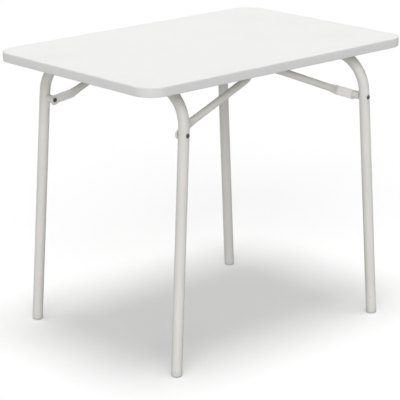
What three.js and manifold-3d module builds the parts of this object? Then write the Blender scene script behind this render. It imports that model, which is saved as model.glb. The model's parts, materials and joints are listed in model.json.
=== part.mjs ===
// Kids' camping table: a light top on two U-shaped leg frames that fold in under it. Each frame is held
// open by a U-shaped brace, which is riveted to the legs and hangs in two hooks under the top.
// Millimetres, +Z up, origin on the floor under the middle of the top. Left is -X and front is -Y.
// Each side is built once, round its own hinge, and the right side is the left one turned half a turn.

import * as THREE from 'three';
import { mergeVertices } from 'three/addons/utils/BufferGeometryUtils.js';
import Module from 'manifold-3d';

const wasm = await Module();
wasm.setup();

// Overall
const table_length = 600;
const table_width = 400;
const table_height = 500;
const overrun = 5;
const seat_gap = 0.3;

// Top
const board_thickness = 16;
const top_corner_radius = 37;
const trim_wall = 2;
const trim_edge_round = 1.3;
const trim_stem_depth = 6.5;
const trim_stem_thickness = 2;
const trim_gap = 0.2;

// Leg frames. The two are shifted apart along Y, and turned a little, so that they fold past each other.
const leg_tube_diameter = 18.5;
const leg_tube_wall = 1.2;
const leg_bend_radius = 60;
const leg_lean_degrees = 3.677;
const leg_splay_degrees = 1;
const leg_inset = 24;
const crossbar_drop = 0.75;
const hinge_inset = 102.13;
const frame_shift = 10.25;
const frame_yaw_degrees = 0.8;

// Foot caps
const cap_height = 8.8;
const cap_edge_round = 4;
const cap_floor_allowance = 0.7;
const cap_stem_length = 14;
const cap_stem_chamfer = 1;

// Braces
const brace_tube_diameter = 12.5;
const brace_tube_wall = 1.2;
const brace_bend_radius = 25;
const brace_bar_spacing = 50.5;
const brace_bar_clearance = 4.6;
const brace_arm_drop = 1.3;
const flat_joggle = 2.6;
const outer_flat_reach = 6.5;
const flat_thickness = 3;
const flat_width = 16.5;
const flat_length = 28;
const flat_blend_length = 22;
const flat_seat_length = 7;
const flat_turn_length = 22;
const flat_end_shares = [0.98, 0.85, 0.6, 0];
const flat_blend_shares = [0, 0.25, 0.5, 0.75, 1];
const vent_diameter = 4;

// Rivets, bushes and washers
const rivet_below_bend = 9.1;
const rivet_drop = leg_bend_radius + rivet_below_bend;
const rivet_diameter = 5;
const rivet_clearance = 0.3;
const rivet_head_diameter = 7.8;
const rivet_head_height = 1.2;
const rivet_dome_shares = [[0.45, 1], [0.85, 0.72], [1, 0.3]];
const bush_diameter = 14;
const washer_diameter = 10;
const washer_thickness = 0.5;

// Saddles that hold the leg crossbars
const saddle_sheet = 1.8;
const saddle_width = 18;
const saddle_ear_length = 14;
const saddle_clearance = 0.4;
const saddle_from_bend = 31;

// Hooks that hold the brace crossbars
const hook_sheet = 2;
const hook_width = 14;
const hook_tail_length = 20;
const hook_clearance = 0.4;
const hook_from_bend = 62.75;
const hook_lip_degrees = 210;
const hook_mouth_degrees = 80;
const hook_screw_inset = 8;
const hook_screw_spacing = 7;

// Screws
const screw_diameter = 3;
const screw_head_diameter = 5.6;
const screw_head_height = 1.8;
const screw_head_round = 1.1;
const screw_depth = 11;
const screw_tip_length = 2.5;
const screw_hole_clearance = 0.3;

// Counts of faces and steps
const leg_sides = 20;
const brace_sides = 16;
const bore_sides = 16;
const ring_sides = 18;
const rivet_sides = 12;
const hole_sides = 10;
const screw_sides = 8;
const bend_steps = 7;
const corner_steps = 5;
const edge_steps = 2;

const leg_radius = leg_tube_diameter / 2;
const brace_radius = brace_tube_diameter / 2;
const lean = THREE.MathUtils.degToRad(leg_lean_degrees);
const splay = THREE.MathUtils.degToRad(leg_splay_degrees);
const yaw = THREE.MathUtils.degToRad(frame_yaw_degrees);
const board_bottom = table_height - board_thickness;
const hinge_height = board_bottom - crossbar_drop - leg_radius;
const hinge_distance = table_length / 2 - hinge_inset;
const crossbar_half_span = table_width / 2 - leg_inset;
const ceiling = board_bottom - hinge_height;
const rivet_hole_radius = rivet_diameter / 2 + rivet_clearance;
const screw_hole_radius = screw_diameter / 2 + screw_hole_clearance;

// Colours and finishes
const finish = {
  laminate: { color: 0xf2f2f0, roughness: 0.42, metalness: 0 },
  trim: { color: 0xe4e4e3, roughness: 0.4, metalness: 0 },
  paint: { color: 0xdedcd5, roughness: 0.38, metalness: 0 },
  plastic: { color: 0xd6d6d4, roughness: 0.5, metalness: 0 },
  steel: { color: 0x8c8b88, roughness: 0.4, metalness: 0.9 },
};

// A closed three.js geometry as a solid that can be joined and cut
function solid(geometry) {
  const bare = geometry.clone();
  bare.deleteAttribute('normal');
  bare.deleteAttribute('uv');
  const merged = mergeVertices(bare);
  const corners = merged.index.array;
  const triangles = [];
  for (let i = 0; i < corners.length; i += 3) {
    const [a, b, c] = [corners[i], corners[i + 1], corners[i + 2]];
    if (a !== b && b !== c && c !== a) triangles.push(a, b, c);
  }
  return new wasm.Manifold(new wasm.Mesh({
    numProp: 3,
    vertProperties: new Float32Array(merged.attributes.position.array),
    triVerts: new Uint32Array(triangles),
  }));
}

// The same solid as a three.js geometry again
function surface(body) {
  const mesh = body.getMesh();
  const geometry = new THREE.BufferGeometry();
  const places = new Float32Array(mesh.numVert * mesh.numProp);
  places.set(mesh.vertProperties.subarray(0, places.length));
  geometry.setAttribute('position', new THREE.BufferAttribute(places, mesh.numProp));
  geometry.setIndex(Array.from(mesh.triVerts));
  geometry.computeVertexNormals();
  return geometry;
}

function cut(geometry, ...tools) {
  return surface(tools.reduce((body, tool) => body.subtract(solid(tool)), solid(geometry)));
}

function join(geometry, ...others) {
  return surface(others.reduce((body, other) => body.add(solid(other)), solid(geometry)));
}

// A flat path of straight runs and round bends. A run is one step, apart from the stops asked for near
// its ends, and each bend is cut into equal steps.
class BentPath extends THREE.Curve {
  constructor(corners, radius, stops = []) {
    super();
    this.points = [];
    this.tangents = [];
    const last = corners.length - 1;
    const runs = corners.slice(1).map((corner, i) => corner.clone().sub(corners[i]).normalize());
    const first_run = runs[0];
    const last_run = runs[last - 1];
    this.plane = new THREE.Vector3().crossVectors(first_run, runs[1]).normalize();
    this.place(corners[0], first_run);
    for (const stop of stops) this.place(corners[0].clone().addScaledVector(first_run, stop), first_run);
    for (let i = 1; i < last; i++) this.bend(corners[i], runs[i - 1], runs[i], radius);
    for (const stop of stops.toReversed()) {
      this.place(corners[last].clone().addScaledVector(last_run, -stop), last_run);
    }
    this.place(corners[last], last_run);
  }

  place(point, tangent) {
    this.points.push(point.clone());
    this.tangents.push(tangent.clone());
  }

  bend(corner, into, out, radius) {
    const turn = into.angleTo(out);
    const side = out.clone().addScaledVector(into, -into.dot(out)).normalize();
    const start = corner.clone().addScaledVector(into, -radius * Math.tan(turn / 2));
    const centre = start.clone().addScaledVector(side, radius);
    for (let i = 0; i <= bend_steps; i++) {
      const angle = turn * i / bend_steps;
      const point = centre.clone().addScaledVector(side, -radius * Math.cos(angle));
      point.addScaledVector(into, radius * Math.sin(angle));
      const tangent = into.clone().multiplyScalar(Math.cos(angle)).addScaledVector(side, Math.sin(angle));
      this.place(point, tangent);
    }
  }

  getSpacedPoints() {
    return this.points;
  }

  computeFrenetFrames() {
    const normals = this.tangents.map(() => this.plane.clone());
    const binormals = this.tangents.map((tangent) => new THREE.Vector3().crossVectors(tangent, this.plane));
    return { tangents: this.tangents, normals, binormals };
  }
}

function disc(radius) {
  return new THREE.Shape().absarc(0, 0, radius, 0, 2 * Math.PI);
}

function rod(path, radius, sides) {
  const steps = path.points.length - 1;
  return new THREE.ExtrudeGeometry(disc(radius), { extrudePath: path, steps, curveSegments: sides / 2 });
}

// A turned piece: its profile is pairs of radius and height, from bottom to top up the outside
function turned(profile, sides) {
  return new THREE.LatheGeometry(profile.map(([radius, height]) => new THREE.Vector2(radius, height)), sides);
}

// An outline in X and Z, as thick along Y as asked, centred on Y = 0
function pressed(outline, width) {
  const options = { depth: width, bevelEnabled: false, curveSegments: bend_steps };
  const geometry = new THREE.ExtrudeGeometry(outline, options);
  return geometry.rotateX(Math.PI / 2).translate(0, width / 2, 0);
}

// A drill along Z or Y, from start to end
function drill_up(x, y, bottom, top, radius) {
  const geometry = new THREE.CylinderGeometry(radius, radius, top - bottom, hole_sides);
  return geometry.rotateX(Math.PI / 2).translate(x, y, (top + bottom) / 2);
}

function drill_across(x, z, from, to, radius) {
  return new THREE.CylinderGeometry(radius, radius, to - from, hole_sides).translate(x, (from + to) / 2, z);
}

function piece(name, geometry, look) {
  const mesh = new THREE.Mesh(geometry, new THREE.MeshStandardMaterial(look));
  mesh.name = name;
  return mesh;
}

// Places round one hinge: X inwards, Y along the crossbar towards the outer leg, Z up from the hinge
const leg_reach = hinge_height / Math.cos(lean);
const down_leg = new THREE.Vector3(-Math.sin(lean), 0, -Math.cos(lean));

function on_leg(end, distance) {
  const point = down_leg.clone().multiplyScalar(distance);
  point.y = end * (crossbar_half_span + distance * Math.tan(splay));
  return point;
}

const rivet_distance = rivet_drop / Math.cos(lean);
const rivet_place = { outer: on_leg(1, rivet_distance), inner: on_leg(-1, rivet_distance) };
const leg_half_width = leg_radius / Math.cos(splay);
const outer_leg_face = rivet_place.outer.y - leg_half_width;
const inner_leg_face = rivet_place.inner.y + leg_half_width;

// The brace lies in the middle of the table, so its frame's outer leg stands further from it than the inner
// one does. Its flat ends seat on the washer at the inner leg and on the bush at the outer leg, and the one
// at the outer leg turns out further to meet the bush.
const inner_flat_face = inner_leg_face + washer_thickness + 2 * seat_gap;
const inner_flat_half_span = -inner_flat_face - frame_shift;
const outer_flat_half_span = inner_flat_half_span + outer_flat_reach;
const outer_flat_face = outer_flat_half_span - frame_shift;
const brace_arm_half_span = inner_flat_half_span - flat_joggle - brace_radius;
const bar_place = new THREE.Vector3(hinge_distance - brace_bar_spacing / 2, 0,
  ceiling - brace_bar_clearance - brace_radius);
const bar_reach = bar_place.distanceTo(new THREE.Vector3(rivet_place.outer.x, 0, rivet_place.outer.z));
const brace_arm_length = Math.sqrt(bar_reach ** 2 - brace_arm_drop ** 2);
const bar_rise = bar_place.z - rivet_place.outer.z;
const slope = Math.asin(bar_rise / bar_reach) + Math.asin(brace_arm_drop / bar_reach);
const saddle_distance = crossbar_half_span - leg_bend_radius - saddle_from_bend;
const hook_distance = brace_arm_half_span - brace_bend_radius - hook_from_bend;

// One tube: foot, leg, bend, crossbar, bend, leg, foot, open at both feet, with the rivet holes drilled
function leg_frame() {
  const foot_distance = leg_reach - cap_height / Math.cos(lean);
  const corners = [on_leg(-1, foot_distance), on_leg(-1, 0), on_leg(1, 0), on_leg(1, foot_distance)];
  const bore_corners = corners.map((corner) => corner.clone());
  bore_corners[0].addScaledVector(down_leg, overrun);
  bore_corners[3].addScaledVector(down_leg, overrun);
  const tube = rod(new BentPath(corners, leg_bend_radius), leg_radius, leg_sides);
  const bore = rod(new BentPath(bore_corners, leg_bend_radius), leg_radius - leg_tube_wall, bore_sides);
  const holes = [rivet_place.outer, rivet_place.inner].map((place) => drill_across(
    place.x, place.z, place.y - leg_tube_diameter, place.y + leg_tube_diameter, rivet_hole_radius));
  return cut(tube, bore, ...holes);
}

// A plastic plug with a flange as wide as the tube, cut level with the floor
function foot_cap(end) {
  const stem_radius = leg_radius - leg_tube_wall - seat_gap;
  const flange_top = cap_height - seat_gap;
  const half_round = cap_edge_round * (1 - Math.SQRT1_2);
  const profile = [
    [0, -cap_floor_allowance],
    [leg_radius - cap_edge_round, -cap_floor_allowance],
    [leg_radius - half_round, half_round - cap_floor_allowance],
    [leg_radius, cap_edge_round - cap_floor_allowance],
    [leg_radius, flange_top],
    [stem_radius, flange_top],
    [stem_radius, flange_top + cap_stem_length - cap_stem_chamfer],
    [stem_radius - cap_stem_chamfer, flange_top + cap_stem_length],
    [0, flange_top + cap_stem_length],
  ];
  const foot = on_leg(end, leg_reach);
  const up_leg = on_leg(end, 0).sub(foot).normalize();
  const turn = new THREE.Quaternion().setFromUnitVectors(new THREE.Vector3(0, 1, 0), up_leg);
  const cap = turned(profile, ring_sides).applyQuaternion(turn).translate(foot.x, foot.y, foot.z);
  const floor = new THREE.BoxGeometry(leg_tube_diameter * 2, leg_tube_diameter * 2, overrun);
  floor.translate(foot.x, foot.y, -hinge_height - overrun / 2);
  return cut(cap, floor);
}

// Presses the arms' ends flat and round-ended, and turns them out to the legs. X runs along the arms.
function press_ends(geometry) {
  const places = geometry.attributes.position;
  const end_radius = flat_width / 2;
  const arm_start = flat_length + flat_blend_length;
  for (let i = 0; i < places.count; i++) {
    const x = places.getX(i);
    const side = Math.sign(places.getY(i));
    const flat_half_span = side > 0 ? outer_flat_half_span : inner_flat_half_span;
    const shift = flat_half_span - flat_thickness / 2 - brace_arm_half_span;
    const across = places.getY(i) - side * brace_arm_half_span;
    const up = places.getZ(i) + brace_arm_drop;
    const pressed_share = 1 - THREE.MathUtils.smoothstep(x, flat_length, arm_start);
    const turned_share = 1 - THREE.MathUtils.clamp((x - flat_seat_length) / flat_turn_length, 0, 1);
    const rounding = x < 0 ? Math.sqrt(Math.max(0, 1 - (x / end_radius) ** 2)) : 1;
    const flat_across = THREE.MathUtils.clamp(across * flat_width / flat_thickness,
      -flat_thickness / 2, flat_thickness / 2);
    const flat_up = up * flat_width / brace_tube_diameter * rounding;
    const centre = side * (brace_arm_half_span + shift * turned_share);
    places.setY(i, centre + THREE.MathUtils.lerp(across, flat_across, pressed_share));
    places.setZ(i, THREE.MathUtils.lerp(up, flat_up, pressed_share) - brace_arm_drop);
  }
  return geometry;
}

// One tube: flat end, arm, bend, crossbar, bend, arm, flat end, hollow between its pressed ends
function brace() {
  const end_radius = flat_width / 2;
  const hollow_start = flat_length + flat_blend_length;
  const span = (end, from) => new THREE.Vector3(from, end * brace_arm_half_span, -brace_arm_drop);
  const path = (from, stops) => new BentPath(
    [span(-1, from), span(-1, brace_arm_length), span(1, brace_arm_length), span(1, from)],
    brace_bend_radius, stops);
  const start = -end_radius * flat_end_shares[0];
  const seat_stops = flat_end_shares.slice(1).map((share) => -end_radius * share);
  const blend_stops = flat_blend_shares.map((share) => flat_length + flat_blend_length * share);
  const turn_end = flat_seat_length + flat_turn_length;
  const stops = [...seat_stops, flat_seat_length, ...blend_stops, turn_end].map((x) => x - start);
  stops.sort((a, b) => a - b);
  const tube = press_ends(rod(path(start, stops), brace_radius, brace_sides));
  const bore = rod(path(hollow_start), brace_radius - brace_tube_wall, hole_sides);
  const vent = drill_up(brace_arm_length, 0, -brace_arm_drop, brace_radius + overrun, vent_diameter / 2);
  const holes = drill_across(0, 0, -inner_flat_half_span - overrun, outer_flat_half_span + overrun,
    rivet_hole_radius);
  const whole = cut(tube, bore, vent, holes);
  return whole.rotateY(-slope).translate(rivet_place.outer.x, -frame_shift, -rivet_drop);
}

// A rivet from the outside of a leg to the inside of the brace's flat end, with a round head at each end
function rivet(end) {
  const place = end > 0 ? rivet_place.outer : rivet_place.inner;
  const flat_face = end > 0 ? outer_flat_face : inner_flat_face;
  const head_radius = rivet_head_diameter / 2;
  const radius = rivet_diameter / 2;
  const inside = end * flat_face - flat_thickness - seat_gap;
  const outside = end * place.y + leg_half_width + seat_gap;
  const dome = rivet_dome_shares.map(([out, high]) => [head_radius * out, rivet_head_height * high]);
  const profile = [
    [0, inside - rivet_head_height],
    ...dome.map(([out, high]) => [out, inside - high]),
    [head_radius, inside],
    [radius, inside],
    [radius, outside],
    [head_radius, outside],
    ...dome.toReversed().map(([out, high]) => [out, outside + high]),
    [0, outside + rivet_head_height],
  ];
  const geometry = turned(profile, rivet_sides);
  if (end < 0) geometry.rotateX(Math.PI);
  return surface(solid(geometry.translate(place.x, 0, place.z)));
}

// A ring round the rivet, between two places on its axis
function ring(from, to, diameter) {
  const profile = [
    [rivet_hole_radius, from],
    [diameter / 2, from],
    [diameter / 2, to],
    [rivet_hole_radius, to],
    [rivet_hole_radius, from],
  ];
  return surface(solid(turned(profile, ring_sides).translate(rivet_place.outer.x, 0, -rivet_drop)));
}

// A saddle of sheet under the crossbar, with an ear on each side that is screwed to the board
function saddle_outline() {
  const inner = leg_radius + saddle_clearance;
  const outer = inner + saddle_sheet;
  const ear_end = outer + saddle_ear_length;
  const ear_bottom = ceiling - saddle_sheet;
  const outline = new THREE.Shape();
  outline.moveTo(-ear_end, ceiling);
  outline.lineTo(-ear_end, ear_bottom);
  outline.lineTo(-outer, ear_bottom);
  outline.lineTo(-outer, 0);
  outline.absarc(0, 0, outer, Math.PI, 2 * Math.PI);
  outline.lineTo(outer, ear_bottom);
  outline.lineTo(ear_end, ear_bottom);
  outline.lineTo(ear_end, ceiling);
  outline.lineTo(inner, ceiling);
  outline.lineTo(inner, 0);
  outline.absarc(0, 0, inner, 2 * Math.PI, Math.PI, true);
  outline.lineTo(-inner, ceiling);
  outline.closePath();
  return outline;
}

const saddle_screw_place = leg_radius + saddle_clearance + saddle_sheet + saddle_ear_length / 2;

function saddle(y) {
  const body = pressed(saddle_outline(), saddle_width).translate(0, y, 0);
  const holes = [-saddle_screw_place, saddle_screw_place].map((x) => drill_up(x, y,
    ceiling - saddle_sheet - overrun, ceiling + overrun, screw_hole_radius));
  return cut(body, ...holes);
}

// A hook over the brace's crossbar, on the side of the legs: a tail along the board and a round lip
function hook_outline() {
  const inner = brace_radius + hook_clearance;
  const outer = inner + hook_sheet;
  const lip = THREE.MathUtils.degToRad(hook_lip_degrees);
  const mouth = THREE.MathUtils.degToRad(hook_mouth_degrees);
  const top = ceiling - bar_place.z;
  const tail_bottom = top - hook_sheet;
  const meet = Math.PI - Math.asin(Math.min(1, tail_bottom / outer));
  const outline = new THREE.Shape();
  outline.moveTo(inner * Math.cos(mouth), top);
  outline.lineTo(-outer - hook_tail_length, top);
  outline.lineTo(-outer - hook_tail_length, tail_bottom);
  outline.absarc(0, 0, outer, meet, lip);
  outline.absarc(0, 0, inner, lip, mouth, true);
  outline.closePath();
  return outline;
}

const hook_back = bar_place.x - brace_radius - hook_clearance - hook_sheet;
const hook_screw_place = hook_back - hook_tail_length + hook_screw_inset;

function hook(y) {
  const body = pressed(hook_outline(), hook_width).translate(bar_place.x, y, bar_place.z);
  const holes = [-hook_screw_spacing / 2, hook_screw_spacing / 2].map((side) => drill_up(hook_screw_place,
    y + side, ceiling - hook_sheet - overrun, ceiling + overrun, screw_hole_radius));
  return cut(body, ...holes);
}

// A pan head screw up into the board, through sheet of the thickness given
function screw(x, y, sheet) {
  const head_radius = screw_head_diameter / 2;
  const radius = screw_diameter / 2;
  const seat = ceiling - sheet - seat_gap;
  const tip = ceiling + screw_depth;
  const profile = [
    [0, seat - screw_head_height],
    [head_radius - screw_head_round, seat - screw_head_height],
    [head_radius, seat - screw_head_height + screw_head_round],
    [head_radius, seat],
    [radius, seat],
    [radius, tip - screw_tip_length],
    [0, tip],
  ];
  return surface(solid(turned(profile, screw_sides).rotateX(Math.PI / 2).translate(x, y, 0)));
}

// Every screw of one side: its name, its place in plan and the sheet that it goes through
function side_screws() {
  const screws = [];
  for (const [place, end] of [['outer', 1], ['inner', -1]]) {
    for (const [name, x] of [['inboard', saddle_screw_place], ['outboard', -saddle_screw_place]]) {
      const y = end * saddle_distance;
      screws.push({ name: `${place}_saddle_${name}_screw`, x, y, sheet: saddle_sheet });
    }
    for (const [name, step] of [['first', -1], ['second', 1]]) {
      const y = end * hook_distance - frame_shift + step * hook_screw_spacing / 2;
      screws.push({ name: `${place}_hook_${name}_screw`, x: hook_screw_place, y, sheet: hook_sheet });
    }
  }
  return screws;
}

// The hinge of one side in the table's own frame. The right side is turned half a turn about Z.
function side_group(turn) {
  const hinge = new THREE.Group();
  hinge.position.set(-hinge_distance, frame_shift, hinge_height);
  hinge.rotation.z = yaw;
  const side = new THREE.Group();
  side.rotation.z = turn;
  side.add(hinge);
  side.updateMatrixWorld(true);
  return { side, hinge };
}

function one_side(name, turn) {
  const { side, hinge } = side_group(turn);
  const add = (label, geometry, look) => hinge.add(piece(`${name}_${label}`, geometry, look));
  add('leg_frame', leg_frame(), finish.paint);
  add('outer_foot_cap', foot_cap(1), finish.plastic);
  add('inner_foot_cap', foot_cap(-1), finish.plastic);
  add('brace', brace(), finish.paint);
  add('outer_rivet', rivet(1), finish.steel);
  add('inner_rivet', rivet(-1), finish.steel);
  const bush = ring(outer_flat_face + seat_gap, outer_leg_face - seat_gap, bush_diameter);
  const washer = ring(inner_leg_face + seat_gap, inner_flat_face - seat_gap, washer_diameter);
  add('spacer_bush', bush, finish.paint);
  add('washer', washer, finish.steel);
  for (const [place, end] of [['outer', 1], ['inner', -1]]) {
    add(`${place}_saddle`, saddle(end * saddle_distance), finish.steel);
    add(`${place}_hook`, hook(end * hook_distance - frame_shift), finish.steel);
  }
  for (const { name: label, x, y, sheet } of side_screws()) add(label, screw(x, y, sheet), finish.steel);
  return side;
}

// A level slab with round corners, inset from the table's outline, with its two edges rounded as asked
function rounded_slab(inset, bottom, top, edge_round) {
  const half_length = table_length / 2 - inset - edge_round;
  const half_width = table_width / 2 - inset - edge_round;
  const radius = top_corner_radius - inset - edge_round;
  const outline = new THREE.Shape();
  outline.moveTo(half_length, -half_width + radius);
  outline.absarc(half_length - radius, half_width - radius, radius, 0, Math.PI / 2);
  outline.absarc(-half_length + radius, half_width - radius, radius, Math.PI / 2, Math.PI);
  outline.absarc(-half_length + radius, -half_width + radius, radius, Math.PI, 1.5 * Math.PI);
  outline.absarc(half_length - radius, -half_width + radius, radius, 1.5 * Math.PI, 2 * Math.PI);
  outline.closePath();
  const geometry = new THREE.ExtrudeGeometry(outline, {
    depth: top - bottom - 2 * edge_round,
    curveSegments: corner_steps,
    bevelEnabled: edge_round > 0,
    bevelSize: edge_round,
    bevelThickness: edge_round,
    bevelSegments: edge_steps,
  });
  return geometry.translate(0, 0, bottom + edge_round);
}

const board_inset = trim_wall + trim_gap;
const stem_middle = table_height - board_thickness / 2;

// The board, grooved round its edge for the trim's stem and with a pilot hole for every screw
function tabletop_board() {
  const groove_half = trim_stem_thickness / 2 + trim_gap;
  const groove_depth = trim_stem_depth + trim_gap;
  const groove = cut(
    rounded_slab(-overrun, stem_middle - groove_half, stem_middle + groove_half, 0),
    rounded_slab(board_inset + groove_depth, stem_middle - groove_half - overrun,
      stem_middle + groove_half + overrun, 0));
  const pilots = [];
  for (const turn of [0, Math.PI]) {
    const { hinge } = side_group(turn);
    for (const { x, y } of side_screws()) {
      const place = hinge.localToWorld(new THREE.Vector3(x, y, ceiling));
      pilots.push(drill_up(place.x, place.y, board_bottom - overrun, board_bottom + screw_depth + seat_gap,
        screw_hole_radius));
    }
  }
  return cut(rounded_slab(board_inset, board_bottom, table_height, 0), groove, ...pilots);
}

// The edge trim: a rounded strip as high as the board, with a stem that goes into the board's groove
function edge_trim() {
  const stem_half = trim_stem_thickness / 2;
  const strip = cut(rounded_slab(0, board_bottom, table_height, trim_edge_round),
    rounded_slab(trim_wall, board_bottom - overrun, table_height + overrun, 0));
  const stem = cut(rounded_slab(trim_wall / 2, stem_middle - stem_half, stem_middle + stem_half, 0),
    rounded_slab(board_inset + trim_stem_depth, stem_middle - stem_half - overrun,
      stem_middle + stem_half + overrun, 0));
  return join(strip, stem);
}

const table = new THREE.Group();
table.add(piece('tabletop_board', tabletop_board(), finish.laminate));
table.add(piece('edge_trim', edge_trim(), finish.trim));
table.add(one_side('left', 0));
table.add(one_side('right', Math.PI));

export default table;
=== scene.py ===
"""A folding table for children: a white board with an edge trim, two bent tube leg frames that fold in under
it, and two tube braces that hold them open. Metres, +Z up, on the floor. Left is -X and front is -Y."""

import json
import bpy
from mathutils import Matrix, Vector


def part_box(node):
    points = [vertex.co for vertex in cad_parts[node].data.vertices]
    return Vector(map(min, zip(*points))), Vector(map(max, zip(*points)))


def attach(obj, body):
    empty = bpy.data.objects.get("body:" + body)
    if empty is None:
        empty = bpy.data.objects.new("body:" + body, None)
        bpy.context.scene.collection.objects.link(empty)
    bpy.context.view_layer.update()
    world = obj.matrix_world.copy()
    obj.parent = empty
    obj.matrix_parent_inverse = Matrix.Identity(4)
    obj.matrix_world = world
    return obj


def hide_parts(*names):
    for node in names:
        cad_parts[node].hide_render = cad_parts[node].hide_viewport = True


bl_info = {
    "name": "Folding children's table",
    "version": (1, 0, 0),
    "blender": (4, 5, 0),
    "location": "3D View > Sidebar > Table",
    "description": "Builds the board, trim, leg frames, braces and fittings of a small folding table",
    "category": "Object",
}

from math import asin, cos, pi, radians, sin, sqrt, tan
from types import SimpleNamespace

import bmesh
import bpy
from bpy.types import Operator, Panel, PropertyGroup
from mathutils import Matrix, Vector

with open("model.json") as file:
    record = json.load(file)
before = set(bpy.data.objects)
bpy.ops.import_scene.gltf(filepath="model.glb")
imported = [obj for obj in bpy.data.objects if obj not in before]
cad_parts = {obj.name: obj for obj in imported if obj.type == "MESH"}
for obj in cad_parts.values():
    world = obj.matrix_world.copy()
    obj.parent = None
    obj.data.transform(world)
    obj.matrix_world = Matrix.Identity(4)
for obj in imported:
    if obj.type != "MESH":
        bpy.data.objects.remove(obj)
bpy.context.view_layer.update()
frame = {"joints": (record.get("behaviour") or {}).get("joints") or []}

MM = 0.001
SIDES = ("left", "right")
ENDS = {"outer": 1, "inner": -1}
UP = Vector((0, 0, 1))
SHARP_ANGLE = radians(38)
MERGE_DISTANCE = 1e-6
trim_low, trim_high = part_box("edge_trim")


# Settings

def size(name, description, millimetres):
    return bpy.props.FloatProperty(name=name, description=description, default=millimetres * MM,
                                   min=0, precision=5, unit="LENGTH")


def angle(name, description, degrees):
    return bpy.props.FloatProperty(name=name, description=description, default=radians(degrees),
                                   subtype="ANGLE")


def count(name, description, number):
    return bpy.props.IntProperty(name=name, description=description, default=number, min=1)


def colour(name, description, value):
    return bpy.props.FloatVectorProperty(name=name, description=description, default=value, size=3,
                                         min=0, max=1, subtype="COLOR")


def level(name, description, value):
    return bpy.props.FloatProperty(name=name, description=description, default=value, min=0)


class TopSettings(PropertyGroup):
    """Sizes of the board and its edge trim"""
    length: size("Length", "Length of the top", (trim_high.x - trim_low.x) / MM)
    width: size("Width", "Width of the top", (trim_high.y - trim_low.y) / MM)
    height: size("Height", "Height of the top's surface", trim_high.z / MM)
    thickness: size("Thickness", "Thickness of the board", (trim_high.z - trim_low.z) / MM)
    corner_radius: size("Corner radius", "Radius of the top's corners in plan", 37)
    corner_steps: count("Corner steps", "Faces round each corner", 16)
    trim_wall: size("Trim wall", "Thickness of the trim's face", 2)
    trim_gap: size("Trim gap", "Gap between the trim and the board", 0.2)
    trim_round: size("Trim edge radius", "Radius of the trim's two outer edges", 1.3)
    trim_crown: size("Trim crown", "Bulge of the trim's face at mid height", 0.15)
    stem_depth: size("Stem depth", "Depth of the trim's stem in the board", 6.5)
    stem_thickness: size("Stem thickness", "Thickness of the trim's stem", 2)
    board_ease: size("Board edge", "Size of the board's eased edges", 0.25)


class LegSettings(PropertyGroup):
    """Sizes of the leg frames and their foot caps"""
    tube_diameter: size("Tube diameter", "Outer diameter of the leg tube", 18.5)
    tube_wall: size("Tube wall", "Wall of the leg tube", 1.2)
    bend_radius: size("Bend radius", "Radius of the tube's bends at its middle", 60)
    bend_steps: count("Bend steps", "Steps in each bend", 24)
    sides: count("Sides", "Faces round the tube", 48)
    inset: size("Inset", "Distance of the legs from the top's sides", 24)
    lean: angle("Lean", "Outward lean of the legs along the table", 3.677)
    splay: angle("Splay", "Outward lean of the legs across the table", 1)
    cap_height: size("Cap height", "Visible height of a foot cap", 8.8)
    cap_round: size("Cap edge radius", "Radius of a foot cap's lower edge", 4)
    cap_allowance: size("Cap allowance", "What is cut off below the floor", 0.7)
    cap_stem: size("Cap stem", "Length of the cap's plug in the tube", 14)


class BraceSettings(PropertyGroup):
    """Sizes of the braces"""
    tube_diameter: size("Tube diameter", "Outer diameter of the brace tube", 12.5)
    bend_radius: size("Bend radius", "Radius of the tube's bends at its middle", 25)
    bend_steps: count("Bend steps", "Steps in each bend", 24)
    sides: count("Sides", "Faces round the tube", 40)
    section_length: size("Section length", "Distance between the tube's sections", 2)
    bar_spacing: size("Crossbar spacing", "Distance between the two braces' crossbars", 50.5)
    bar_clearance: size("Crossbar clearance", "Gap between a brace's crossbar and the board", 4.6)
    arm_drop: size("Arm drop", "Drop of the arms below the rivets", 1.3)
    flat_joggle: size("Joggle", "Offset of the flat ends from the arms", 2.6)
    outer_reach: size("Outer reach", "Extra offset of the flat end at the outer leg", 6.5)
    flat_thickness: size("Flat thickness", "Thickness of the pressed ends", 3)
    flat_width: size("Flat width", "Width of the pressed ends", 16.5)
    flat_length: size("Flat length", "Length of the pressed end past its rivet", 28)
    blend_length: size("Blend length", "Length in which the tube goes flat", 22)
    seat_length: size("Seat length", "Length of the straight seat past the rivet", 7)
    turn_length: size("Turn length", "Length in which the flat end turns outwards", 22)


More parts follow.
